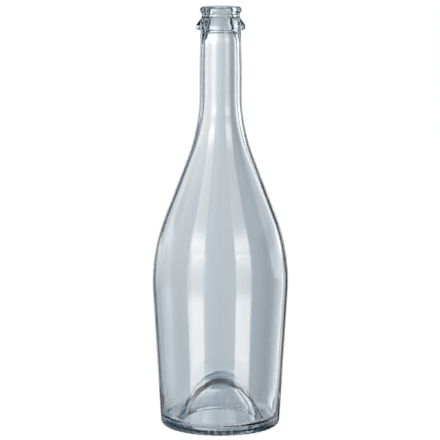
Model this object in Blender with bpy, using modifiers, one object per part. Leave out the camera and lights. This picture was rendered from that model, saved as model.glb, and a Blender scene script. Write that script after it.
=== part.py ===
"""Sparkling wine bottle, empty and open: one wall of clear blown glass, turned about +Z.

Metres, +Z up. The bottle stands on the plane z = 0 and its axis is the Z axis.
The wall is one closed outline, spun round the axis: from the top of the punt inside the
bottle, up the inner wall, over the mouth, down the crown bead, wire ring, neck, shoulder
and body, round the heel, across the bearing ring and up the hollow of the punt.
"""

import math

import bpy
from mathutils import Vector

# Whole bottle
BOTTLE_HEIGHT = 0.2900

# Mouth, crown bead and wire ring; a depth is measured down from the mouth
BORE_RADIUS = 0.00875
MOUTH_EDGE_ROUND = 0.0009
BEAD_RADIUS = 0.0143
BEAD_TOP_ROUND = 0.0024
BEAD_FOOT_DEPTH = 0.0030
BEAD_FOOT_ROUND = 0.0012
WAIST_RADIUS = 0.01295
WAIST_TOP_DEPTH = 0.0050
WAIST_TOP_ROUND = 0.0018
FLARE_TOP_DEPTH = 0.0074
FLARE_TOP_ROUND = 0.0045
RING_RADIUS = 0.01675
RING_TOP_DEPTH = 0.0124
RING_TOP_ROUND = 0.0018
RING_FOOT_DEPTH = 0.0158
RING_FOOT_ROUND = 0.0009
RING_ROOT_ROUND = 0.0005

# Neck, shoulder and body outside; each corner is where two straight stretches would meet
NECK_TOP_RADIUS = 0.01375
NECK_RADIUS = 0.0145
NECK_KNEE_HEIGHT = 0.2475
NECK_KNEE_ROUND = 0.2000
NECK_FOOT_HEIGHT = 0.2080
NECK_FOOT_ROUND = 0.1157
SHOULDER_RADIUS = 0.0484
SHOULDER_HEIGHT = 0.1207
SHOULDER_ROUND = 0.1270
HEEL_RADIUS = 0.0411
HEEL_ROUND = 0.0046

# Wall thickness, square to the glass
NECK_WALL = 0.0025
SHOULDER_WALL = 0.0024
BODY_WALL = 0.0025

# Bore, which widens from the mouth down to where the thick glass thins into the neck
BORE_FOOT_RADIUS = 0.0098
BORE_FOOT_DEPTH = 0.0150
BORE_FOOT_ROUND = 0.0200
THROAT_RADIUS = 0.0116
THROAT_DEPTH = 0.0230
THROAT_ROUND = 0.0300

# Floor inside, between the wall and the punt
FLOOR_HEIGHT = 0.0052
HEEL_WALL = 0.0034
HEEL_THICKENING_HEIGHT = 0.0300
HEEL_THICKENING_ROUND = 0.2500
INNER_HEEL_ROUND = 0.0048
PUNT_FOOT_RADIUS = 0.0298
PUNT_FOOT_ROUND = 0.0030
PUNT_TOP_HEIGHT = 0.0376
PUNT_TOP_ROUND = 0.0187

# Bearing ring and the hollow of the punt underneath
BEARING_INNER_RADIUS = 0.0316
BEARING_INNER_ROUND = 0.0010
HOLLOW_FOOT_RADIUS = 0.0256
HOLLOW_FOOT_HEIGHT = 0.0019
HOLLOW_FOOT_ROUND = 0.0040
HOLLOW_FLANK_RADIUS = 0.0184
HOLLOW_FLANK_HEIGHT = 0.0172
HOLLOW_FLANK_ROUND = 0.0600
HOLLOW_SHOULDER_RADIUS = 0.0120
HOLLOW_SHOULDER_HEIGHT = 0.0255
HOLLOW_SHOULDER_ROUND = 0.0120
HOLLOW_TOP_HEIGHT = 0.0307
HOLLOW_TOP_ROUND = 0.0160

# Fineness of the mesh
TURN_STEPS = 48
ARC_SAG = 0.0001
WIDEST_ARC_STEP_DEGREES = 22.5
SAME_POINT = 0.000001

# Glass
GLASS_COLOUR = (0.80, 0.86, 0.90, 1.0)
GLASS_ROUGHNESS = 0.02
GLASS_IOR = 1.52
GLASS_NAME = "clear_glass"
BOTTLE_NAME = "glass_bottle"
COLLECTION_NAME = "Sparkling wine bottle"


def clear_scene():
    """Remove every object, so that the bottle is alone in the file."""
    for old in list(bpy.data.objects):
        bpy.data.objects.remove(old, do_unlink=True)


def corner(radius, height, rounding=0.0):
    """A corner of the outline: its place and the radius of the arc that rounds it."""
    return Vector((radius, height)), rounding


def below_mouth(depth):
    """Height of a level that is measured down from the mouth."""
    return BOTTLE_HEIGHT - depth


def moved_in(upper, lower, wall):
    """A straight stretch of the outside, upper point to lower, moved towards the axis by the wall."""
    along = (lower - upper).normalized()
    inwards = Vector((along.y, -along.x))
    return upper + inwards * wall, lower + inwards * wall


def crossing(first, second):
    """The point where two straight stretches, drawn on, would meet."""
    start, end = first
    other_start, other_end = second
    along = end - start
    other = other_end - other_start
    reach = (other_start - start).cross(other) / along.cross(other)
    return start + along * reach


def radius_at(stretch, height):
    """Radius of a straight stretch at a height."""
    upper, lower = stretch
    share = (upper.y - height) / (upper.y - lower.y)
    return upper.x + (lower.x - upper.x) * share


def dome_corner_radius(foot, top_height, rounding):
    """Where the level line over a dome meets the straight flank that runs up from its foot."""
    rise = top_height - rounding - foot.y
    reach = math.hypot(foot.x, rise)
    slope = math.atan2(rise, foot.x) + math.asin(rounding / reach)
    return rounding * math.tan(slope / 2)


def mouth_outline():
    """The outside from the bore's edge down to the root of the wire ring."""
    mouth = below_mouth(0)
    return [
        corner(BORE_RADIUS, mouth, MOUTH_EDGE_ROUND),
        corner(BEAD_RADIUS, mouth, BEAD_TOP_ROUND),
        corner(BEAD_RADIUS, below_mouth(BEAD_FOOT_DEPTH), BEAD_FOOT_ROUND),
        corner(WAIST_RADIUS, below_mouth(WAIST_TOP_DEPTH), WAIST_TOP_ROUND),
        corner(WAIST_RADIUS, below_mouth(FLARE_TOP_DEPTH), FLARE_TOP_ROUND),
        corner(RING_RADIUS, below_mouth(RING_TOP_DEPTH), RING_TOP_ROUND),
        corner(RING_RADIUS, below_mouth(RING_FOOT_DEPTH), RING_FOOT_ROUND),
        corner(NECK_TOP_RADIUS, below_mouth(RING_FOOT_DEPTH), RING_ROOT_ROUND),
    ]


def body_outline():
    """The outside from the neck down to the bearing ring's outer edge."""
    return [
        corner(NECK_RADIUS, NECK_KNEE_HEIGHT, NECK_KNEE_ROUND),
        corner(NECK_RADIUS, NECK_FOOT_HEIGHT, NECK_FOOT_ROUND),
        corner(SHOULDER_RADIUS, SHOULDER_HEIGHT, SHOULDER_ROUND),
        corner(HEEL_RADIUS, 0, HEEL_ROUND),
    ]


def base_outline():
    """The underside from the bearing ring's inner edge up to the top of the punt's hollow."""
    shoulder = Vector((HOLLOW_SHOULDER_RADIUS, HOLLOW_SHOULDER_HEIGHT))
    dome_corner = dome_corner_radius(shoulder, HOLLOW_TOP_HEIGHT, HOLLOW_TOP_ROUND)
    return [
        corner(BEARING_INNER_RADIUS, 0, BEARING_INNER_ROUND),
        corner(HOLLOW_FOOT_RADIUS, HOLLOW_FOOT_HEIGHT, HOLLOW_FOOT_ROUND),
        corner(HOLLOW_FLANK_RADIUS, HOLLOW_FLANK_HEIGHT, HOLLOW_FLANK_ROUND),
        corner(shoulder.x, shoulder.y, HOLLOW_SHOULDER_ROUND),
        corner(dome_corner, HOLLOW_TOP_HEIGHT, HOLLOW_TOP_ROUND),
        corner(0, HOLLOW_TOP_HEIGHT),
    ]


def inner_outline():
    """The inside from the top of the punt up to the bore, its straight walls parallel to the outside."""
    neck_knee = Vector((NECK_RADIUS, NECK_KNEE_HEIGHT))
    neck_foot = Vector((NECK_RADIUS, NECK_FOOT_HEIGHT))
    shoulder = Vector((SHOULDER_RADIUS, SHOULDER_HEIGHT))
    heel = Vector((HEEL_RADIUS, 0))
    neck_line = moved_in(neck_knee, neck_foot, NECK_WALL)
    shoulder_line = moved_in(neck_foot, shoulder, SHOULDER_WALL)
    body_line = moved_in(shoulder, heel, BODY_WALL)
    inner_neck_foot = crossing(neck_line, shoulder_line)
    inner_shoulder = crossing(shoulder_line, body_line)
    inner_heel_radius = radius_at((shoulder, heel), FLOOR_HEIGHT) - HEEL_WALL
    punt_foot = Vector((PUNT_FOOT_RADIUS, FLOOR_HEIGHT))
    dome_corner = dome_corner_radius(punt_foot, PUNT_TOP_HEIGHT, PUNT_TOP_ROUND)
    return [
        corner(0, PUNT_TOP_HEIGHT),
        corner(dome_corner, PUNT_TOP_HEIGHT, PUNT_TOP_ROUND),
        corner(punt_foot.x, punt_foot.y, PUNT_FOOT_ROUND),
        corner(inner_heel_radius, FLOOR_HEIGHT, INNER_HEEL_ROUND),
        corner(radius_at(body_line, HEEL_THICKENING_HEIGHT), HEEL_THICKENING_HEIGHT, HEEL_THICKENING_ROUND),
        corner(inner_shoulder.x, inner_shoulder.y, SHOULDER_ROUND - BODY_WALL),
        corner(inner_neck_foot.x, inner_neck_foot.y, NECK_FOOT_ROUND + NECK_WALL),
        corner(NECK_RADIUS - NECK_WALL, NECK_KNEE_HEIGHT, NECK_KNEE_ROUND),
        corner(THROAT_RADIUS, below_mouth(THROAT_DEPTH), THROAT_ROUND),
        corner(BORE_FOOT_RADIUS, below_mouth(BORE_FOOT_DEPTH), BORE_FOOT_ROUND),
    ]


def turn_between(before, place, after):
    """The angle by which the outline changes direction at a corner, signed."""
    return (place - before).angle_signed(after - place)


def tangent_lengths(corners):
    """How far each corner's arc reaches along its two stretches, shortened where stretches are too short."""
    places = [place for place, _ in corners]
    wanted = [0.0] * len(corners)
    for index in range(1, len(corners) - 1):
        turn = turn_between(*places[index - 1:index + 2])
        wanted[index] = corners[index][1] * math.tan(abs(turn) / 2)
    fits = []
    for index in range(len(corners) - 1):
        length = (places[index + 1] - places[index]).length
        needed = wanted[index] + wanted[index + 1]
        fits.append(min(1.0, length / needed) if needed > 0 else 1.0)
    kept = [length * min(fits[index - 1], fits[index]) for index, length in enumerate(wanted[:-1])]
    return kept + [0.0]


def arc_points(before, place, after, reach):
    """Points along the arc that rounds a corner, from stretch to stretch."""
    turn = turn_between(before, place, after)
    start = place + (before - place).normalized() * reach
    if reach < SAME_POINT:
        return [place]
    radius = reach / math.tan(abs(turn) / 2)
    sagging_step = 2 * math.acos(max(0.0, 1 - ARC_SAG / radius))
    steps = math.ceil(abs(turn) / min(sagging_step, math.radians(WIDEST_ARC_STEP_DEGREES)))
    along = (place - before).normalized()
    side = math.copysign(1.0, turn)
    towards_centre = Vector((along.y, -along.x)) * side
    centre = start + towards_centre * radius
    points = []
    for step in range(steps + 1):
        angle = abs(turn) * step / steps
        points.append(centre - towards_centre * radius * math.cos(angle) + along * radius * math.sin(angle))
    return points


def rounded_outline(corners):
    """The outline as points: straight stretches between corners, with an arc at each rounded corner."""
    places = [place for place, _ in corners]
    reaches = tangent_lengths(corners)
    outline = [places[0]]
    for index in range(1, len(corners) - 1):
        for point in arc_points(*places[index - 1:index + 2], reaches[index]):
            if (point - outline[-1]).length > SAME_POINT:
                outline.append(point)
    if (places[-1] - outline[-1]).length > SAME_POINT:
        outline.append(places[-1])
    else:
        outline[-1] = places[-1]
    return outline


def clear_glass():
    """Clear glass with a faint grey-blue cast."""
    material = bpy.data.materials.new(GLASS_NAME)
    material.use_nodes = True
    shader = material.node_tree.nodes["Principled BSDF"]
    shader.inputs["Base Color"].default_value = GLASS_COLOUR
    shader.inputs["Roughness"].default_value = GLASS_ROUGHNESS
    shader.inputs["Metallic"].default_value = 0.0
    shader.inputs["IOR"].default_value = GLASS_IOR
    shader.inputs["Transmission Weight"].default_value = 1.0
    return material


def turned(name, outline, material, collection):
    """An object that is an outline at +X, spun round the Z axis."""
    mesh = bpy.data.meshes.new(name)
    vertices = [(point.x, 0.0, point.y) for point in outline]
    edges = [(index, index + 1) for index in range(len(outline) - 1)]
    mesh.from_pydata(vertices, edges, [])
    mesh.materials.append(material)
    turned_object = bpy.data.objects.new(name, mesh)
    collection.objects.link(turned_object)
    screw = turned_object.modifiers.new("Turn", "SCREW")
    screw.axis = "Z"
    screw.angle = math.tau
    screw.steps = TURN_STEPS
    screw.render_steps = TURN_STEPS
    screw.use_merge_vertices = True
    screw.merge_threshold = SAME_POINT
    screw.use_smooth_shade = True
    return turned_object


def build():
    """Make the bottle in a collection of its own."""
    clear_scene()
    collection = bpy.data.collections.new(COLLECTION_NAME)
    bpy.context.scene.collection.children.link(collection)
    corners = inner_outline() + mouth_outline() + body_outline() + base_outline()
    return turned(BOTTLE_NAME, rounded_outline(corners), clear_glass(), collection)


build()
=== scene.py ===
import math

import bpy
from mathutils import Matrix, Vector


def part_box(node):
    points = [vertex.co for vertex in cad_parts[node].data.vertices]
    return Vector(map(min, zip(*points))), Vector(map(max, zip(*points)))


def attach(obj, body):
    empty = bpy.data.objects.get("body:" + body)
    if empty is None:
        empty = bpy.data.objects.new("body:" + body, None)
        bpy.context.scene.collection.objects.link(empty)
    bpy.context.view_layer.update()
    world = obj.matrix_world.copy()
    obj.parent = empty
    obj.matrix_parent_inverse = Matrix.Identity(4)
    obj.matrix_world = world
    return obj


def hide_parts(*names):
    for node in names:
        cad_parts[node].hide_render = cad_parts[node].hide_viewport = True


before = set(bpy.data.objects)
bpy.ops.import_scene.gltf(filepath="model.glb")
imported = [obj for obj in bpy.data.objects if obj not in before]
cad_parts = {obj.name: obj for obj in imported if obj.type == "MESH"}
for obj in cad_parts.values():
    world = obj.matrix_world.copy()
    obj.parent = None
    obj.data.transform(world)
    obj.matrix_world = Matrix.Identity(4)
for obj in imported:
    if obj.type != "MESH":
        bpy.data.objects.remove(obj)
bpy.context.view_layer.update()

# Sparkling wine bottle, empty and open: one wall of clear blown glass on a pale studio floor.
# Metres, +Z up, the bottle's axis on Z. The wall is one closed outline turned round the axis,
# so that light bends through it as it does through the real one.

CAD_NODE = "glass_bottle"
CAD_BODY = "root"
BOTTLE_NAME = "bottle_glass"

# Whole bottle
BOTTLE_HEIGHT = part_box(CAD_NODE)[1].z

# Mouth, crown bead and wire ring; a depth is measured down from the mouth
BORE_RADIUS = 0.00875
MOUTH_EDGE_ROUND = 0.0009
BEAD_RADIUS = 0.0143
BEAD_TOP_ROUND = 0.0024
BEAD_FOOT_DEPTH = 0.0030
BEAD_FOOT_ROUND = 0.0012
WAIST_RADIUS = 0.01295
WAIST_TOP_DEPTH = 0.0050
WAIST_TOP_ROUND = 0.0018
FLARE_TOP_DEPTH = 0.0074
FLARE_TOP_ROUND = 0.0045
RING_RADIUS = 0.01675
RING_TOP_DEPTH = 0.0124
RING_TOP_ROUND = 0.0018
RING_FOOT_DEPTH = 0.0158
RING_FOOT_ROUND = 0.0009
RING_ROOT_ROUND = 0.0005

# Neck, shoulder and body outside; each corner is where two straight stretches would meet
NECK_TOP_RADIUS = 0.01375
NECK_RADIUS = 0.0145
NECK_KNEE_HEIGHT = 0.2475
NECK_KNEE_ROUND = 0.2000
NECK_FOOT_HEIGHT = 0.2080
NECK_FOOT_ROUND = 0.1157
SHOULDER_RADIUS = 0.0484
SHOULDER_HEIGHT = 0.1207
SHOULDER_ROUND = 0.1270
HEEL_RADIUS = 0.0411
HEEL_ROUND = 0.0046

# Wall thickness, square to the glass
NECK_WALL = 0.0025
SHOULDER_WALL = 0.0024
BODY_WALL = 0.0025

# Bore, which widens from the mouth down to where the thick glass thins into the neck
BORE_FOOT_RADIUS = 0.0098
BORE_FOOT_DEPTH = 0.0150
BORE_FOOT_ROUND = 0.0200
THROAT_RADIUS = 0.0116
THROAT_DEPTH = 0.0230
THROAT_ROUND = 0.0300

# Floor inside, between the wall and the punt
FLOOR_HEIGHT = 0.0052
HEEL_WALL = 0.0034
HEEL_THICKENING_HEIGHT = 0.0300
HEEL_THICKENING_ROUND = 0.2500
INNER_HEEL_ROUND = 0.0048
PUNT_FOOT_RADIUS = 0.0298
PUNT_FOOT_ROUND = 0.0030
PUNT_TOP_HEIGHT = 0.0376
PUNT_TOP_ROUND = 0.0187

# Bearing ring and the hollow of the punt underneath
BEARING_INNER_RADIUS = 0.0316
BEARING_INNER_ROUND = 0.0010
HOLLOW_FOOT_RADIUS = 0.0256
HOLLOW_FOOT_HEIGHT = 0.0019
HOLLOW_FOOT_ROUND = 0.0040
HOLLOW_FLANK_RADIUS = 0.0184
HOLLOW_FLANK_HEIGHT = 0.0172
HOLLOW_FLANK_ROUND = 0.0600
HOLLOW_SHOULDER_RADIUS = 0.0120
HOLLOW_SHOULDER_HEIGHT = 0.0255
HOLLOW_SHOULDER_ROUND = 0.0120
HOLLOW_TOP_HEIGHT = 0.0307
HOLLOW_TOP_ROUND = 0.0160

# Knurls pressed into the bearing ring
KNURL_COUNT = 48
KNURL_DEPTH = 0.00024
KNURL_REACH = 0.0062

# Waves left by blowing: faint in the inner wall, strong towards the base, and slight in the punt's hollow
WALL_WAVE = 0.00003
BASE_WAVE = 0.00028
HOLLOW_WAVE = 0.00008
BASE_WAVE_TOP = 0.0360
WAVE_SIZE = 0.0110
WAVE_DETAIL = 1.0
WAVE_SEED = 4.0

# Fineness of the mesh
TURN_STEPS = 288
ARC_SAG = 0.00002
WIDEST_ARC_STEP_DEGREES = 9.0
LONGEST_RUN = 0.0030
SAME_POINT = 0.000001

# Surface of the glass: blown waves, upright draw streaks, mould seams and the worn bearing ring
SKIN_WAVE_SIZE = 0.0100
SKIN_WAVE_HEIGHT = 0.000006
SKIN_DETAIL = 2.0
STREAK_WIDTH = 0.0022
STREAK_LENGTH = 0.0600
STREAK_HEIGHT = 0.0000012
SEAM_HALF_WIDTH = 0.00035
SEAM_ROUNDING = 0.5
SEAM_HEIGHT = 0.00005
SEAM_FOOT = 0.0050
SEAM_TOP = 0.2700
POLISHED_ROUGHNESS = 0.002
DULL_ROUGHNESS = 0.012
DULL_PATCH_SIZE = 0.0250
DULL_PATCH_DETAIL = 3.0
RING_ROUGHNESS = 0.30
RING_WEAR_HEIGHT = 0.0012

# Glass
GLASS_IOR = 1.52
GLASS_ABSORPTION_COLOUR = (0.0, 0.22, 0.36, 1.0)
GLASS_ABSORPTION_DENSITY = 35.0

# Camera
CAMERA_PLACE = (-0.0003, -1.513, 0.350)
CAMERA_PITCH_DEGREES = 7.779
CAMERA_ROLL_DEGREES = 0.08
CAMERA_LENS = 181.4
CAMERA_SENSOR = 36.0

# Studio: floor, background, the two strips of light in front, and the lamps
FLOOR_SIZE = 26.0
WHITE = (1.0, 1.0, 1.0, 1.0)
DARK_TINT = (0.79, 0.98, 1.14, 1.0)
LIGHT_TINT = (1.0, 1.0, 1.0, 1.0)
WORLD_FILL = 0.7
FLOOR_GLOW = 0.86
FLOOR_COLOUR = (0.22, 0.22, 0.22, 1.0)
LEFT_STRIP_INNER_DEGREES = 29.4
RIGHT_STRIP_INNER_DEGREES = 26.6
STRIP_WIDTH_DEGREES = 28.8
STRIP_COLOUR = (1.0, 0.93, 0.88, 1.0)
FULL_STRIP_TONE = 1.7
KEY_DISTANCE = 2.0
KEY_ANGLE_DEGREES = 44.0
KEY_SIZE = 1.2
KEY_HEIGHT = 1.6
KEY_RADIANCE = 2.0
TOP_SIZE = 1.4
TOP_HEIGHT = 1.6
TOP_RADIANCE = 1.0

# Card behind the bottle: how its tones spread and lighten upwards, and where its top and sides end
SLANT_FOOT_DEGREES = -17.0
SLANT_REACH_DEGREES = 20.0
LEFT_SLANT = 0.026
RIGHT_SLANT = 0.012
LIFT_FOOT_DEGREES = -11.0
LIFT_REACH_DEGREES = 14.0
CARD_LIFT = 0.010
LEFT_LIFT = 0.056
LIFT_START_DEGREES = 1.6
LIFT_SPREAD_DEGREES = 5.0
CARD_TOP_DEGREES = 25.0
CARD_TOP_FADE_DEGREES = 5.0
CARD_SIDE_DEGREES = 30.0
CARD_SIDE_FADE_DEGREES = 30.0

# Tones round the bottle by direction, in degrees from straight behind it, to the right counted up
SURROUND_TONES = (
    (-180.0, 0.45),
    (-152.0, 0.80),
    (-120.0, 0.40),
    (-105.0, 0.20),
    (-84.0, 0.04),
    (-56.0, 0.04),
    (-44.0, 0.45),
    (-30.0, 0.50),
    (-20.5, 0.86),
    (-16.0, 0.82),
    (-13.0, 0.76),
    (-9.0, 0.70),
    (-5.5, 0.69),
    (-2.0, 0.635),
    (1.5, 0.57),
    (5.0, 0.44),
    (8.0, 0.43),
    (9.6, 0.64),
    (12.2, 0.90),
    (14.0, 1.30),
    (18.0, 1.20),
    (25.0, 0.65),
    (36.0, 0.90),
    (44.0, 1.10),
    (54.0, 1.25),
    (70.0, 1.20),
    (80.0, 0.50),
    (95.0, 0.20),
    (119.0, 0.15),
    (150.0, 0.80),
    (165.0, 0.75),
)

# Soft-edged cards, dark or light: azimuth from and to, elevation from and to, width of the edge, tone
STUDIO_CARDS = (
    (37.0, 57.0, -1.0, 5.0, 1.5, 1.65),
    (58.0, 80.0, -1.0, 5.0, 1.5, 1.95),
    (37.0, 60.0, 6.5, 90.0, 1.5, 1.15),
    (60.0, 80.0, 6.5, 25.0, 1.5, 1.45),
    (60.0, 80.0, 26.5, 90.0, 1.5, 1.00),
    (-100.0, -43.0, -16.0, -11.0, 1.5, 0.25),
    (57.0, 74.0, -5.6, -2.5, 1.2, 2.2),
    (-30.0, -21.6, -90.0, -8.0, 1.4, 0.0),
    (-30.5, -21.8, -8.0, 90.0, 1.2, 0.0),
    (-49.0, -32.0, 13.0, 90.0, 1.2, 0.10),
    (-47.0, -32.0, 1.0, 13.0, 1.2, 0.23),
    (-76.0, -53.0, 6.5, 13.0, 1.5, 0.70),
    (-36.0, -16.0, 9.0, 90.0, 2.0, 0.0),
    (17.0, 31.0, -90.0, -7.0, 1.0, 0.0),
    (29.5, 72.0, -90.0, -26.0, 3.0, 0.0),
    (-105.0, -40.0, -90.0, -27.0, 3.0, 0.60),
    (-8.0, 18.0, 12.5, 25.0, 1.5, 0.50),
    (19.5, 34.5, -6.0, 90.0, 1.5, 0.08),
    (22.0, 34.5, 0.0, 90.0, 1.5, 0.0),
)

# Brightness of the two strips by elevation, in degrees
STRIP_TONES = (
    (-90.0, 0.0),
    (-40.0, 0.0),
    (-28.0, 0.90),
    (-19.2, 1.20),
    (-18.6, 4.10),
    (-16.0, 4.10),
    (-14.0, 3.50),
    (-12.0, 2.70),
    (-9.0, 1.90),
    (-4.0, 1.80),
    (0.0, 2.10),
    (4.0, 2.30),
    (9.5, 2.00),
    (13.5, 3.90),
    (17.0, 4.90),
    (22.0, 4.00),
    (27.0, 2.60),
    (30.0, 2.10),
    (60.0, 1.20),
    (90.0, 0.60),
)

# Turns, in degrees
FULL_TURN = 360.0
HALF_TURN = 180.0
QUARTER_TURN = 90.0

# Nodes and light paths
WAVE_ATTRIBUTE = "wave_height"
COLOUR_A = 6
COLOUR_B = 7
COLOUR_RESULT = 2
RAMP_MIDDLE = 0.5
LIGHT_BOUNCES = 32


def corner(radius, height, rounding=0.0):
    """A corner of the outline: its place and the radius of the arc that rounds it."""
    return Vector((radius, height)), rounding


def below_mouth(depth):
    """Height of a level that is measured down from the mouth."""
    return BOTTLE_HEIGHT - depth


def moved_in(upper, lower, wall):
    """A straight stretch of the outside, upper point to lower, moved towards the axis by the wall."""
    along = (lower - upper).normalized()
    inwards = Vector((along.y, -along.x))
    return upper + inwards * wall, lower + inwards * wall


def crossing(first, second):
    """The point where two straight stretches, drawn on, would meet."""
    start, end = first
    other_start, other_end = second
    along = end - start
    other = other_end - other_start
    reach = (other_start - start).cross(other) / along.cross(other)
    return start + along * reach


def radius_at(stretch, height):
    """Radius of a straight stretch at a height."""
    upper, lower = stretch
    share = (upper.y - height) / (upper.y - lower.y)
    return upper.x + (lower.x - upper.x) * share


def dome_corner_radius(foot, top_height, rounding):
    """Where the level line over a dome meets the straight flank that runs up from its foot."""
    rise = top_height - rounding - foot.y
    reach = math.hypot(foot.x, rise)
    slope = math.atan2(rise, foot.x) + math.asin(rounding / reach)
    return rounding * math.tan(slope / 2)


def mouth_outline():
    """The outside from the bore's edge down to the root of the wire ring."""
    mouth = below_mouth(0)
    return [
        corner(BORE_RADIUS, mouth, MOUTH_EDGE_ROUND),
        corner(BEAD_RADIUS, mouth, BEAD_TOP_ROUND),
        corner(BEAD_RADIUS, below_mouth(BEAD_FOOT_DEPTH), BEAD_FOOT_ROUND),
        corner(WAIST_RADIUS, below_mouth(WAIST_TOP_DEPTH), WAIST_TOP_ROUND),
        corner(WAIST_RADIUS, below_mouth(FLARE_TOP_DEPTH), FLARE_TOP_ROUND),
        corner(RING_RADIUS, below_mouth(RING_TOP_DEPTH), RING_TOP_ROUND),
        corner(RING_RADIUS, below_mouth(RING_FOOT_DEPTH), RING_FOOT_ROUND),
        corner(NECK_TOP_RADIUS, below_mouth(RING_FOOT_DEPTH), RING_ROOT_ROUND),
    ]


def body_outline():
    """The outside from the neck down to the bearing ring's outer edge."""
    return [
        corner(NECK_RADIUS, NECK_KNEE_HEIGHT, NECK_KNEE_ROUND),
        corner(NECK_RADIUS, NECK_FOOT_HEIGHT, NECK_FOOT_ROUND),
        corner(SHOULDER_RADIUS, SHOULDER_HEIGHT, SHOULDER_ROUND),
        corner(HEEL_RADIUS, 0, HEEL_ROUND),
    ]


def base_outline():
    """The underside from the bearing ring's inner edge up to the top of the punt's hollow."""
    shoulder = Vector((HOLLOW_SHOULDER_RADIUS, HOLLOW_SHOULDER_HEIGHT))
    dome_corner = dome_corner_radius(shoulder, HOLLOW_TOP_HEIGHT, HOLLOW_TOP_ROUND)
    return [
        corner(BEARING_INNER_RADIUS, 0, BEARING_INNER_ROUND),
        corner(HOLLOW_FOOT_RADIUS, HOLLOW_FOOT_HEIGHT, HOLLOW_FOOT_ROUND),
        corner(HOLLOW_FLANK_RADIUS, HOLLOW_FLANK_HEIGHT, HOLLOW_FLANK_ROUND),
        corner(shoulder.x, shoulder.y, HOLLOW_SHOULDER_ROUND),
        corner(dome_corner, HOLLOW_TOP_HEIGHT, HOLLOW_TOP_ROUND),
        corner(0, HOLLOW_TOP_HEIGHT),
    ]


def inner_outline():
    """The inside from the top of the punt up to the bore, its straight walls parallel to the outside."""
    neck_knee = Vector((NECK_RADIUS, NECK_KNEE_HEIGHT))
    neck_foot = Vector((NECK_RADIUS, NECK_FOOT_HEIGHT))
    shoulder = Vector((SHOULDER_RADIUS, SHOULDER_HEIGHT))
    heel = Vector((HEEL_RADIUS, 0))
    neck_line = moved_in(neck_knee, neck_foot, NECK_WALL)
    shoulder_line = moved_in(neck_foot, shoulder, SHOULDER_WALL)
    body_line = moved_in(shoulder, heel, BODY_WALL)
    inner_neck_foot = crossing(neck_line, shoulder_line)
    inner_shoulder = crossing(shoulder_line, body_line)
    inner_heel_radius = radius_at((shoulder, heel), FLOOR_HEIGHT) - HEEL_WALL
    punt_foot = Vector((PUNT_FOOT_RADIUS, FLOOR_HEIGHT))
    dome_corner = dome_corner_radius(punt_foot, PUNT_TOP_HEIGHT, PUNT_TOP_ROUND)
    return [
        corner(0, PUNT_TOP_HEIGHT),
        corner(dome_corner, PUNT_TOP_HEIGHT, PUNT_TOP_ROUND),
        corner(punt_foot.x, punt_foot.y, PUNT_FOOT_ROUND),
        corner(inner_heel_radius, FLOOR_HEIGHT, INNER_HEEL_ROUND),
        corner(radius_at(body_line, HEEL_THICKENING_HEIGHT), HEEL_THICKENING_HEIGHT, HEEL_THICKENING_ROUND),
        corner(inner_shoulder.x, inner_shoulder.y, SHOULDER_ROUND - BODY_WALL),
        corner(inner_neck_foot.x, inner_neck_foot.y, NECK_FOOT_ROUND + NECK_WALL),
        corner(NECK_RADIUS - NECK_WALL, NECK_KNEE_HEIGHT, NECK_KNEE_ROUND),
        corner(THROAT_RADIUS, below_mouth(THROAT_DEPTH), THROAT_ROUND),
        corner(BORE_FOOT_RADIUS, below_mouth(BORE_FOOT_DEPTH), BORE_FOOT_ROUND),
    ]


def turn_between(before, place, after):
    """The angle by which the outline changes direction at a corner, signed."""
    return (place - before).angle_signed(after - place)


def tangent_lengths(corners):
    """How far each corner's arc reaches along its two stretches, shortened where stretches are too short."""
    places = [place for place, _ in corners]
    wanted = [0.0] * len(corners)
    for index in range(1, len(corners) - 1):
        turn = turn_between(*places[index - 1:index + 2])
        wanted[index] = corners[index][1] * math.tan(abs(turn) / 2)
    fits = []
    for index in range(len(corners) - 1):
        length = (places[index + 1] - places[index]).length
        needed = wanted[index] + wanted[index + 1]
        fits.append(min(1.0, length / needed) if needed > 0 else 1.0)
    kept = [length * min(fits[index - 1], fits[index]) for index, length in enumerate(wanted[:-1])]
    return kept + [0.0]


def arc_points(before, place, after, reach):
    """Points along the arc that rounds a corner, from stretch to stretch."""
    if reach < SAME_POINT:
        return [place]
    turn = turn_between(before, place, after)
    start = place + (before - place).normalized() * reach
    radius = reach / math.tan(abs(turn) / 2)
    sagging_step = 2 * math.acos(max(0.0, 1 - ARC_SAG / radius))
    steps = math.ceil(abs(turn) / min(sagging_step, math.radians(WIDEST_ARC_STEP_DEGREES)))
    along = (place - before).normalized()
    side = math.copysign(1.0, turn)
    towards_centre = Vector((along.y, -along.x)) * side
    centre = start + towards_centre * radius
    points = []
    for step in range(steps + 1):
        angle = abs(turn) * step / steps
        points.append(centre - towards_centre * radius * math.cos(angle) + along * radius * math.sin(angle))
    return points


def run_points(start, end):
    """Points inside a straight run, close enough together for even shading."""
    steps = math.ceil((end - start).length / LONGEST_RUN)
    return [start.lerp(end, step / steps) for step in range(1, steps)]


def rounded_outline(corners):
    """The outline as points: straight stretches between corners, with an arc at each rounded corner."""
    places = [place for place, _ in corners]
    reaches = tangent_lengths(corners)
    outline = [places[0]]
    arcs = [arc_points(*places[index - 1:index + 2], reaches[index]) for index in range(1, len(corners) - 1)]
    for arc in arcs + [[places[-1]]]:
        outline += run_points(outline[-1], arc[0])
        for point in arc:
            if (point - outline[-1]).length > SAME_POINT:
                outline.append(point)
    outline[-1] = places[-1]
    return outline


def wave_height(point, is_inside):
    """Height of the waves at a point of the outline; where the glass is moulded it has none."""
    in_hollow = point.x < HOLLOW_FOOT_RADIUS and 0 < point.y < HOLLOW_TOP_HEIGHT
    if not is_inside:
        return HOLLOW_WAVE if in_hollow else 0.0
    if point.y > below_mouth(THROAT_DEPTH):
        return 0.0
    share = max(0.0, 1 - point.y / BASE_WAVE_TOP)
    return WALL_WAVE + (BASE_WAVE - WALL_WAVE) * share


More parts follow.
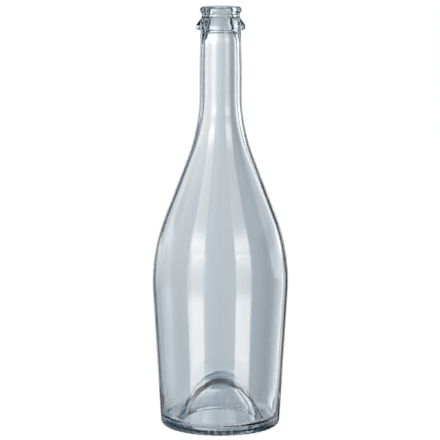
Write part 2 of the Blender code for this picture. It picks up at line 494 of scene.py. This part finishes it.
def outline_object():
    """The outline as a line of edges at +X, with the height of the waves kept on its points."""
    corners = inner_outline() + mouth_outline() + body_outline() + base_outline()
    points = rounded_outline(corners)
    mouth_index = max(range(len(points)), key=lambda index: points[index].y)
    mesh = bpy.data.meshes.new("outline")
    mesh.from_pydata(
        [(point.x, 0.0, point.y) for point in points],
        [(index, index + 1) for index in range(len(points) - 1)],
        [],
    )
    waves = mesh.attributes.new(WAVE_ATTRIBUTE, "FLOAT", "POINT")
    for index, point in enumerate(points):
        waves.data[index].value = wave_height(point, index < mouth_index)
    outline = bpy.data.objects.new("outline", mesh)
    bpy.context.scene.collection.objects.link(outline)
    return outline


class NodeMaker:
    """Adds nodes to a node tree and joins them up as it goes."""

    def __init__(self, tree):
        self.tree = tree

    def node(self, kind, inputs=None, **settings):
        """A node of a kind, with its settings, and its inputs set to values or joined to sockets."""
        made = self.tree.nodes.new(kind)
        for name, value in settings.items():
            setattr(made, name, value)
        for name, value in (inputs or {}).items():
            self.join(made.inputs[name], value)
        return made

    def join(self, socket, value):
        """Sets an input to a plain value, or joins it to an output."""
        if isinstance(value, bpy.types.NodeSocket):
            self.tree.links.new(value, socket)
        else:
            socket.default_value = value

    def maths(self, operation, *values, clamp=False):
        """The output of a Math node."""
        made = self.node("ShaderNodeMath", operation=operation, use_clamp=clamp)
        for socket, value in zip(made.inputs, values):
            self.join(socket, value)
        return made.outputs[0]

    def combined(self, x, y, z):
        """A vector from three values."""
        return self.node("ShaderNodeCombineXYZ", {"X": x, "Y": y, "Z": z}).outputs["Vector"]

    def separated(self, vector):
        """The three values of a vector."""
        return self.node("ShaderNodeSeparateXYZ", {"Vector": vector}).outputs

    def colour_mix(self, share, first, second):
        """The colour that lies a share of the way from the first colour to the second."""
        made = self.node("ShaderNodeMix", data_type="RGBA")
        self.join(made.inputs["Factor"], share)
        self.join(made.inputs[COLOUR_A], first)
        self.join(made.inputs[COLOUR_B], second)
        return made.outputs[COLOUR_RESULT]

    def colour_product(self, first, second):
        """One colour times another."""
        made = self.node("ShaderNodeMix", data_type="RGBA", blend_type="MULTIPLY")
        self.join(made.inputs["Factor"], 1.0)
        self.join(made.inputs[COLOUR_A], first)
        self.join(made.inputs[COLOUR_B], second)
        return made.outputs[COLOUR_RESULT]


def turned_wall_tree():
    """Geometry Nodes that turn an outline round the Z axis, press in the knurls and add the waves."""
    tree = bpy.data.node_groups.new("Turned glass wall", "GeometryNodeTree")
    sockets = (
        ("Outline", "NodeSocketGeometry"),
        ("Outline Points", "NodeSocketInt"),
        ("Turn Steps", "NodeSocketInt"),
        ("Join Distance", "NodeSocketFloat"),
        ("Knurl Count", "NodeSocketFloat"),
        ("Knurl Depth", "NodeSocketFloat"),
        ("Knurl Reach", "NodeSocketFloat"),
        ("Wave Size", "NodeSocketFloat"),
        ("Wave Seed", "NodeSocketFloat"),
        ("Glass", "NodeSocketMaterial"),
    )
    for name, kind in sockets:
        tree.interface.new_socket(name, in_out="INPUT", socket_type=kind)
    tree.interface.new_socket("Wall", in_out="OUTPUT", socket_type="NodeSocketGeometry")
    make = NodeMaker(tree)
    given = make.node("NodeGroupInput").outputs

    columns = make.maths("ADD", given["Turn Steps"], 1)
    grid = make.node(
        "GeometryNodeMeshGrid", {"Vertices X": columns, "Vertices Y": given["Outline Points"]}
    )
    index = make.node("GeometryNodeInputIndex").outputs["Index"]
    row = make.maths("MODULO", index, given["Outline Points"])
    column = make.maths("FLOOR", make.maths("DIVIDE", index, given["Outline Points"]))
    turn = make.maths("MULTIPLY", make.maths("DIVIDE", column, given["Turn Steps"]), math.tau)

    place = make.node("GeometryNodeInputPosition").outputs["Position"]
    on_outline = make.node(
        "GeometryNodeSampleIndex",
        {"Geometry": given["Outline"], "Value": place, "Index": row},
        data_type="FLOAT_VECTOR",
    ).outputs["Value"]
    wave_named = make.node(
        "GeometryNodeInputNamedAttribute", {"Name": WAVE_ATTRIBUTE}, data_type="FLOAT"
    ).outputs["Attribute"]
    wave_on_outline = make.node(
        "GeometryNodeSampleIndex",
        {"Geometry": given["Outline"], "Value": wave_named, "Index": row},
        data_type="FLOAT",
    ).outputs["Value"]

    outline_radius, _, outline_height = make.separated(on_outline)
    turned_place = make.combined(
        make.maths("MULTIPLY", outline_radius, make.maths("COSINE", turn)),
        make.maths("MULTIPLY", outline_radius, make.maths("SINE", turn)),
        outline_height,
    )
    turned = make.node(
        "GeometryNodeSetPosition", {"Geometry": grid.outputs["Mesh"], "Position": turned_place}
    ).outputs["Geometry"]
    waved = make.node(
        "GeometryNodeStoreNamedAttribute",
        {"Geometry": turned, "Name": WAVE_ATTRIBUTE, "Value": wave_on_outline},
        data_type="FLOAT",
        domain="POINT",
    ).outputs["Geometry"]
    joined = make.node(
        "GeometryNodeMergeByDistance", {"Geometry": waved, "Distance": given["Join Distance"]}
    ).outputs["Geometry"]
    outward = make.node("GeometryNodeFlipFaces", {"Mesh": joined}).outputs["Mesh"]

    x, y, z = make.separated(place)
    ridge = make.maths("COSINE", make.maths("MULTIPLY", make.maths("ARCTAN2", y, x), given["Knurl Count"]))
    pressed = make.maths("SUBTRACT", 0.5, make.maths("MULTIPLY", ridge, 0.5))
    near_foot = make.maths("SUBTRACT", 1.0, make.maths("DIVIDE", z, given["Knurl Reach"]), clamp=True)
    is_outside = make.maths("LESS_THAN", wave_named, SAME_POINT)
    knurled = make.maths("MULTIPLY", near_foot, is_outside)
    pressed_in = make.maths("MULTIPLY", make.maths("MULTIPLY", pressed, knurled), given["Knurl Depth"])

    noise = make.node(
        "ShaderNodeTexNoise",
        {
            "Vector": place,
            "W": given["Wave Seed"],
            "Scale": make.maths("DIVIDE", 1.0, given["Wave Size"]),
            "Detail": WAVE_DETAIL,
        },
        noise_dimensions="4D",
    ).outputs[0]
    swing = make.maths("MULTIPLY_ADD", noise, 2.0, -1.0)
    raised = make.maths("SUBTRACT", make.maths("MULTIPLY", swing, wave_named), pressed_in)
    normal = make.node("GeometryNodeInputNormal").outputs["Normal"]
    offset = make.node("ShaderNodeVectorMath", {0: normal, 3: raised}, operation="SCALE").outputs["Vector"]
    finished = make.node(
        "GeometryNodeSetPosition", {"Geometry": outward, "Offset": offset}
    ).outputs["Geometry"]

    smooth = make.node("GeometryNodeSetShadeSmooth", {"Geometry": finished}).outputs["Geometry"]
    realized = make.node("GeometryNodeRealizeInstances", {"Geometry": smooth}).outputs["Geometry"]
    glazed = make.node(
        "GeometryNodeSetMaterial", {"Geometry": realized, "Material": given["Glass"]}
    ).outputs["Geometry"]
    make.node("NodeGroupOutput", {"Wall": glazed})
    return tree


def set_tree_inputs(modifier, values):
    """Sets a Geometry Nodes modifier's inputs by their names."""
    for item in modifier.node_group.interface.items_tree:
        if item.in_out == "INPUT" and item.name in values:
            modifier[item.identifier] = values[item.name]


def bottle_wall(glass):
    """The whole bottle as one plain mesh."""
    outline = outline_object()
    modifier = outline.modifiers.new("Turned glass wall", "NODES")
    modifier.node_group = turned_wall_tree()
    values = {
        "Outline Points": len(outline.data.vertices),
        "Turn Steps": TURN_STEPS,
        "Join Distance": SAME_POINT,
        "Knurl Count": float(KNURL_COUNT),
        "Knurl Depth": KNURL_DEPTH,
        "Knurl Reach": KNURL_REACH,
        "Wave Size": WAVE_SIZE,
        "Wave Seed": WAVE_SEED,
        "Glass": glass,
    }
    set_tree_inputs(modifier, values)
    depsgraph = bpy.context.evaluated_depsgraph_get()
    mesh = bpy.data.meshes.new_from_object(outline.evaluated_get(depsgraph))
    bpy.data.objects.remove(outline)
    mesh.name = BOTTLE_NAME
    bottle = bpy.data.objects.new(BOTTLE_NAME, mesh)
    bpy.context.scene.collection.objects.link(bottle)
    return bottle


def glass_surface_tree():
    """A shader group that gives blown glass its height, in metres, and its roughness over the surface."""
    tree = bpy.data.node_groups.new("Blown glass surface", "ShaderNodeTree")
    tree.interface.new_socket("Place", in_out="INPUT", socket_type="NodeSocketVector")
    values = (
        "Inside", "Wave Size", "Wave Height", "Streak Width", "Streak Length", "Streak Height",
        "Seam Half Width", "Seam Height", "Seam Foot", "Seam Top",
        "Polished Roughness", "Dull Roughness", "Dull Patch Size", "Ring Roughness", "Ring Wear Height",
    )
    for name in values:
        tree.interface.new_socket(name, in_out="INPUT", socket_type="NodeSocketFloat")
    for name in ("Height", "Roughness"):
        tree.interface.new_socket(name, in_out="OUTPUT", socket_type="NodeSocketFloat")
    make = NodeMaker(tree)
    given = make.node("NodeGroupInput").outputs
    x, y, z = make.separated(given["Place"])
    outside = make.maths("LESS_THAN", given["Inside"], SAME_POINT)

    wave_scale = make.maths("DIVIDE", 1.0, given["Wave Size"])
    waves = make.node(
        "ShaderNodeTexNoise", {"Vector": given["Place"], "Scale": wave_scale, "Detail": SKIN_DETAIL}
    ).outputs[0]
    drawn_place = make.combined(
        make.maths("DIVIDE", x, given["Streak Width"]),
        make.maths("DIVIDE", y, given["Streak Width"]),
        make.maths("DIVIDE", z, given["Streak Length"]),
    )
    streaks = make.node(
        "ShaderNodeTexNoise", {"Vector": drawn_place, "Scale": 1.0, "Detail": SKIN_DETAIL}
    ).outputs[0]

    from_seam = make.maths("DIVIDE", make.maths("ABSOLUTE", y), given["Seam Half Width"])
    on_seam = make.maths("MAXIMUM", make.maths("SUBTRACT", 1.0, from_seam), 0.0)
    ridge = make.maths("SMOOTH_MIN", on_seam, 1.0, SEAM_ROUNDING)
    over_foot = make.maths("GREATER_THAN", z, given["Seam Foot"])
    under_top = make.maths("LESS_THAN", z, given["Seam Top"])
    seam_place = make.maths("MULTIPLY", make.maths("MULTIPLY", over_foot, under_top), outside)
    seam = make.maths("MULTIPLY", ridge, seam_place)

    height = make.maths("MULTIPLY", waves, given["Wave Height"])
    height = make.maths("MULTIPLY_ADD", streaks, given["Streak Height"], height)
    height = make.maths("MULTIPLY_ADD", seam, given["Seam Height"], height)

    patch_scale = make.maths("DIVIDE", 1.0, given["Dull Patch Size"])
    patches = make.node(
        "ShaderNodeTexNoise", {"Vector": given["Place"], "Scale": patch_scale, "Detail": DULL_PATCH_DETAIL}
    ).outputs[0]
    duller = make.maths("SUBTRACT", given["Dull Roughness"], given["Polished Roughness"])
    skin = make.maths("MULTIPLY_ADD", patches, duller, given["Polished Roughness"])
    wear = make.maths("SUBTRACT", 1.0, make.maths("DIVIDE", z, given["Ring Wear Height"]), clamp=True)
    worn = make.maths("MULTIPLY", wear, outside)
    roughness = make.maths("MULTIPLY_ADD", worn, given["Ring Roughness"], skin)
    make.node("NodeGroupOutput", {"Height": height, "Roughness": roughness})
    return tree


def clear_blown_glass():
    """Clear glass, grey-blue in its depth."""
    material = bpy.data.materials.new("Clear blown glass")
    material.use_nodes = True
    tree = material.node_tree
    shader = tree.nodes["Principled BSDF"]
    shader.inputs["Base Color"].default_value = WHITE
    shader.inputs["IOR"].default_value = GLASS_IOR
    shader.inputs["Transmission Weight"].default_value = 1.0
    make = NodeMaker(tree)
    surface = make.node("ShaderNodeGroup", node_tree=glass_surface_tree())
    surface_values = {
        "Place": make.node("ShaderNodeTexCoord").outputs["Object"],
        "Inside": make.node("ShaderNodeAttribute", attribute_name=WAVE_ATTRIBUTE).outputs["Fac"],
        "Wave Size": SKIN_WAVE_SIZE,
        "Wave Height": SKIN_WAVE_HEIGHT,
        "Streak Width": STREAK_WIDTH,
        "Streak Length": STREAK_LENGTH,
        "Streak Height": STREAK_HEIGHT,
        "Seam Half Width": SEAM_HALF_WIDTH,
        "Seam Height": SEAM_HEIGHT,
        "Seam Foot": SEAM_FOOT,
        "Seam Top": SEAM_TOP,
        "Polished Roughness": POLISHED_ROUGHNESS,
        "Dull Roughness": DULL_ROUGHNESS,
        "Dull Patch Size": DULL_PATCH_SIZE,
        "Ring Roughness": RING_ROUGHNESS,
        "Ring Wear Height": RING_WEAR_HEIGHT,
    }
    for name, value in surface_values.items():
        make.join(surface.inputs[name], value)
    bump = make.node(
        "ShaderNodeBump", {"Strength": 1.0, "Distance": 1.0, "Height": surface.outputs["Height"]}
    )
    make.join(shader.inputs["Roughness"], surface.outputs["Roughness"])
    make.join(shader.inputs["Normal"], bump.outputs["Normal"])
    absorption = make.node(
        "ShaderNodeVolumeAbsorption",
        {"Color": GLASS_ABSORPTION_COLOUR, "Density": GLASS_ABSORPTION_DENSITY},
    )
    output = tree.nodes["Material Output"]
    tree.links.new(absorption.outputs["Volume"], output.inputs["Volume"])
    return material


def tone_ramp(make, turn_degrees, whole_turn, tones):
    """Tones that follow an angle, straight from one named tone to the next."""
    share = make.maths("MULTIPLY_ADD", turn_degrees, 1 / whole_turn, RAMP_MIDDLE)
    ramp = make.node("ShaderNodeValToRGB", {"Fac": share})
    stops = ramp.color_ramp.elements
    for angle, _ in tones[1:-1]:
        stops.new(angle / whole_turn + RAMP_MIDDLE)
    stops[0].position = tones[0][0] / whole_turn + RAMP_MIDDLE
    stops[len(stops) - 1].position = tones[-1][0] / whole_turn + RAMP_MIDDLE
    for stop, (_, tone) in zip(stops, tones):
        stop.color = (tone, tone, tone, 1.0)
    return ramp.outputs["Color"]


def slanted_azimuth(make, azimuth, elevation):
    """The azimuth that a direction belongs to at the level of the foot; the tones behind spread upwards."""
    is_left = make.maths("LESS_THAN", azimuth, 0.0)
    slant = make.maths("MULTIPLY_ADD", is_left, LEFT_SLANT - RIGHT_SLANT, RIGHT_SLANT)
    rise = make.maths("MINIMUM", make.maths("SUBTRACT", elevation, SLANT_FOOT_DEGREES), SLANT_REACH_DEGREES)
    from_side = make.maths("MULTIPLY_ADD", make.maths("ABSOLUTE", azimuth), -1 / QUARTER_TURN, 1.0)
    nearness = make.maths("MAXIMUM", from_side, 0.0)
    spread = make.maths("MULTIPLY", make.maths("MULTIPLY", slant, rise), nearness)
    return make.maths("MULTIPLY", azimuth, make.maths("SUBTRACT", 1.0, spread))


def card_lift(make, azimuth, elevation):
    """How much lighter the card behind grows upwards, most of all on its left half."""
    share = make.maths(
        "DIVIDE", make.maths("SUBTRACT", LIFT_START_DEGREES, azimuth), LIFT_SPREAD_DEGREES, clamp=True
    )
    rise = make.maths("SUBTRACT", elevation, LIFT_FOOT_DEGREES)
    limited = make.maths("MINIMUM", make.maths("MAXIMUM", rise, 0.0), LIFT_REACH_DEGREES)
    gain = make.maths("MULTIPLY_ADD", share, LEFT_LIFT, CARD_LIFT)
    return make.maths("MULTIPLY_ADD", gain, limited, 1.0)


def above_card(make, azimuth, elevation):
    """Share by which a direction looks over the top of the card behind, into the dark of the studio."""
    over = make.maths(
        "DIVIDE", make.maths("SUBTRACT", elevation, CARD_TOP_DEGREES), CARD_TOP_FADE_DEGREES, clamp=True
    )
    past_side = make.maths("SUBTRACT", make.maths("ABSOLUTE", azimuth), CARD_SIDE_DEGREES)
    beside = make.maths("DIVIDE", past_side, CARD_SIDE_FADE_DEGREES, clamp=True)
    return make.maths("MULTIPLY", over, make.maths("SUBTRACT", 1.0, beside))


def soft_window(make, value, low, high, edge):
    """One between two limits, falling to nothing over the width of an edge outside them."""
    above_low = make.maths("DIVIDE", make.maths("SUBTRACT", value, low - edge), edge, clamp=True)
    below_high = make.maths("DIVIDE", make.maths("SUBTRACT", high + edge, value), edge, clamp=True)
    return make.maths("MULTIPLY", above_low, below_high)


def with_cards(make, grey, azimuth, elevation):
    """A tone of the studio, replaced where one of the cards stands."""
    for az_from, az_to, el_from, el_to, edge, tone in STUDIO_CARDS:
        across = soft_window(make, azimuth, az_from, az_to, edge)
        upright = soft_window(make, elevation, el_from, el_to, edge)
        share = make.maths("MULTIPLY", across, upright)
        kept = make.maths("MULTIPLY", grey, make.maths("SUBTRACT", 1.0, share))
        grey = make.maths("MULTIPLY_ADD", share, tone, kept)
    return grey


def in_strips(make, azimuth):
    """One inside the two upright strips of light in front, left and right."""
    from_front = make.maths("SUBTRACT", HALF_TURN, make.maths("ABSOLUTE", azimuth))
    is_left = make.maths("LESS_THAN", azimuth, 0.0)
    further = LEFT_STRIP_INNER_DEGREES - RIGHT_STRIP_INNER_DEGREES
    inner = make.maths("MULTIPLY_ADD", is_left, further, RIGHT_STRIP_INNER_DEGREES)
    across = make.maths("SUBTRACT", from_front, inner)
    past_inner = make.maths("GREATER_THAN", across, 0.0)
    short_of_outer = make.maths("LESS_THAN", across, STRIP_WIDTH_DEGREES)
    return make.maths("MULTIPLY", past_inner, short_of_outer)


def surround_colour(make, direction):
    """The colour of the studio in a direction, as the glass shows it."""
    x, y, z = make.separated(direction)
    azimuth = make.maths("DEGREES", make.maths("ARCTAN2", x, y))
    elevation = make.maths("DEGREES", make.maths("ARCSINE", z))
    slanted = slanted_azimuth(make, azimuth, elevation)
    tone = tone_ramp(make, slanted, FULL_TURN, SURROUND_TONES)
    lift = card_lift(make, azimuth, elevation)
    behind = make.maths("LESS_THAN", make.maths("ABSOLUTE", azimuth), QUARTER_TURN)
    lifted = make.maths("MULTIPLY", tone, make.maths("POWER", lift, behind))
    over_card = above_card(make, azimuth, elevation)
    dimmed = make.maths("SUBTRACT", 1.0, over_card)
    grey = with_cards(make, make.maths("MULTIPLY", lifted, dimmed), azimuth, elevation)
    plain = make.node("ShaderNodeCombineColor", {0: grey, 1: grey, 2: grey}).outputs[0]
    tint = make.colour_mix(make.maths("MINIMUM", grey, 1.0), DARK_TINT, LIGHT_TINT)
    room = make.colour_product(plain, tint)
    strip_tone = tone_ramp(make, elevation, HALF_TURN, STRIP_TONES)
    strip_share = make.maths("DIVIDE", strip_tone, FULL_STRIP_TONE, clamp=True)
    strip = make.colour_product(strip_tone, make.colour_mix(strip_share, DARK_TINT, STRIP_COLOUR))
    return make.colour_mix(in_strips(make, azimuth), room, strip)


def ray_masks(make):
    """Whether a ray comes from the camera, and whether it reaches the glass's own picture of the studio."""
    path = make.node("ShaderNodeLightPath").outputs
    camera = path["Is Camera Ray"]
    through_glass = make.maths("MAXIMUM", path["Is Glossy Ray"], path["Is Transmission Ray"])
    return camera, through_glass


def studio_floor():
    """A plain pale floor that keeps the bottle's shadow; the glass looks through it at the studio."""
    mesh = bpy.data.meshes.new("floor")
    half = FLOOR_SIZE / 2
    corners = [(-half, -half, 0), (half, -half, 0), (half, half, 0), (-half, half, 0)]
    mesh.from_pydata(corners, [], [(0, 1, 2, 3)])
    material = bpy.data.materials.new("Pale floor")
    material.use_nodes = True
    tree = material.node_tree
    tree.nodes.clear()
    make = NodeMaker(tree)
    camera, through_glass = ray_masks(make)
    glow = make.node(
        "ShaderNodeEmission", {"Color": WHITE, "Strength": make.maths("MULTIPLY", camera, FLOOR_GLOW)}
    )
    matt = make.node("ShaderNodeBsdfDiffuse", {"Color": FLOOR_COLOUR})
    both = make.node("ShaderNodeAddShader", {0: glow.outputs[0], 1: matt.outputs[0]})
    clear = make.node("ShaderNodeBsdfTransparent")
    seen = make.node("ShaderNodeMixShader", {0: through_glass, 1: both.outputs[0], 2: clear.outputs[0]})
    make.node("ShaderNodeOutputMaterial", {"Surface": seen.outputs[0]})
    mesh.materials.append(material)
    floor = bpy.data.objects.new("floor", mesh)
    bpy.context.scene.collection.objects.link(floor)
    return floor


def studio_world():
    """A white background, and the soft pale light of the studio round the bottle."""
    world = bpy.data.worlds.new("Studio")
    world.use_nodes = True
    tree = world.node_tree
    tree.nodes.clear()
    make = NodeMaker(tree)
    camera, through_glass = ray_masks(make)
    direction = make.node("ShaderNodeTexCoord").outputs["Generated"]
    colour = make.colour_mix(through_glass, WHITE, surround_colour(make, direction))
    shown = make.maths("MAXIMUM", camera, through_glass)
    strength = make.maths("MULTIPLY_ADD", shown, 1.0 - WORLD_FILL, WORLD_FILL)
    background = make.node("ShaderNodeBackground", {"Color": colour, "Strength": strength})
    make.node("ShaderNodeOutputWorld", {"Surface": background.outputs[0]})
    bpy.context.scene.world = world


def soft_lamp(name, place, size, radiance):
    """A flat soft lamp that faces the bottle and lights the floor; the glass doesn't show it."""
    lamp = bpy.data.lights.new(name, "AREA")
    lamp.shape = "SQUARE"
    lamp.size = size
    lamp.energy = radiance * math.pi * size * size
    lamp_object = bpy.data.objects.new(name, lamp)
    lamp_object.location = place
    lamp_object.rotation_euler = (-Vector(place)).to_track_quat("-Z", "Y").to_euler()
    lamp_object.visible_camera = False
    lamp_object.visible_glossy = False
    lamp_object.visible_transmission = False
    bpy.context.scene.collection.objects.link(lamp_object)


def studio_lamps():
    """Two soft lamps in front, left and right of the camera, and one above."""
    for side, name in ((-1, "lamp_left"), (1, "lamp_right")):
        angle = math.radians(KEY_ANGLE_DEGREES) * side
        place = (math.sin(angle) * KEY_DISTANCE, -math.cos(angle) * KEY_DISTANCE, KEY_HEIGHT)
        soft_lamp(name, place, KEY_SIZE, KEY_RADIANCE)
    soft_lamp("lamp_above", (0, 0, TOP_HEIGHT), TOP_SIZE, TOP_RADIANCE)


def studio_camera():
    """The camera where the photograph was taken from."""
    data = bpy.data.cameras.new("camera")
    data.lens = CAMERA_LENS
    data.sensor_width = CAMERA_SENSOR
    camera = bpy.data.objects.new("camera", data)
    tilt = Matrix.Rotation(math.radians(QUARTER_TURN - CAMERA_PITCH_DEGREES), 4, "X")
    roll = Matrix.Rotation(math.radians(CAMERA_ROLL_DEGREES), 4, "Z")
    camera.matrix_world = Matrix.Translation(CAMERA_PLACE) @ tilt @ roll
    bpy.context.scene.collection.objects.link(camera)
    bpy.context.scene.camera = camera


def render_settings():
    """Plain colours, and enough bounces for light to pass every wall of the glass."""
    scene = bpy.context.scene
    scene.view_settings.view_transform = "Standard"
    scene.cycles.max_bounces = LIGHT_BOUNCES
    scene.cycles.transmission_bounces = LIGHT_BOUNCES
    scene.cycles.glossy_bounces = LIGHT_BOUNCES
    scene.cycles.use_denoising = True


render_settings()
studio_camera()
studio_world()
studio_lamps()
studio_floor()
bottle = bottle_wall(clear_blown_glass())
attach(bottle, CAD_BODY)
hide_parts(CAD_NODE)
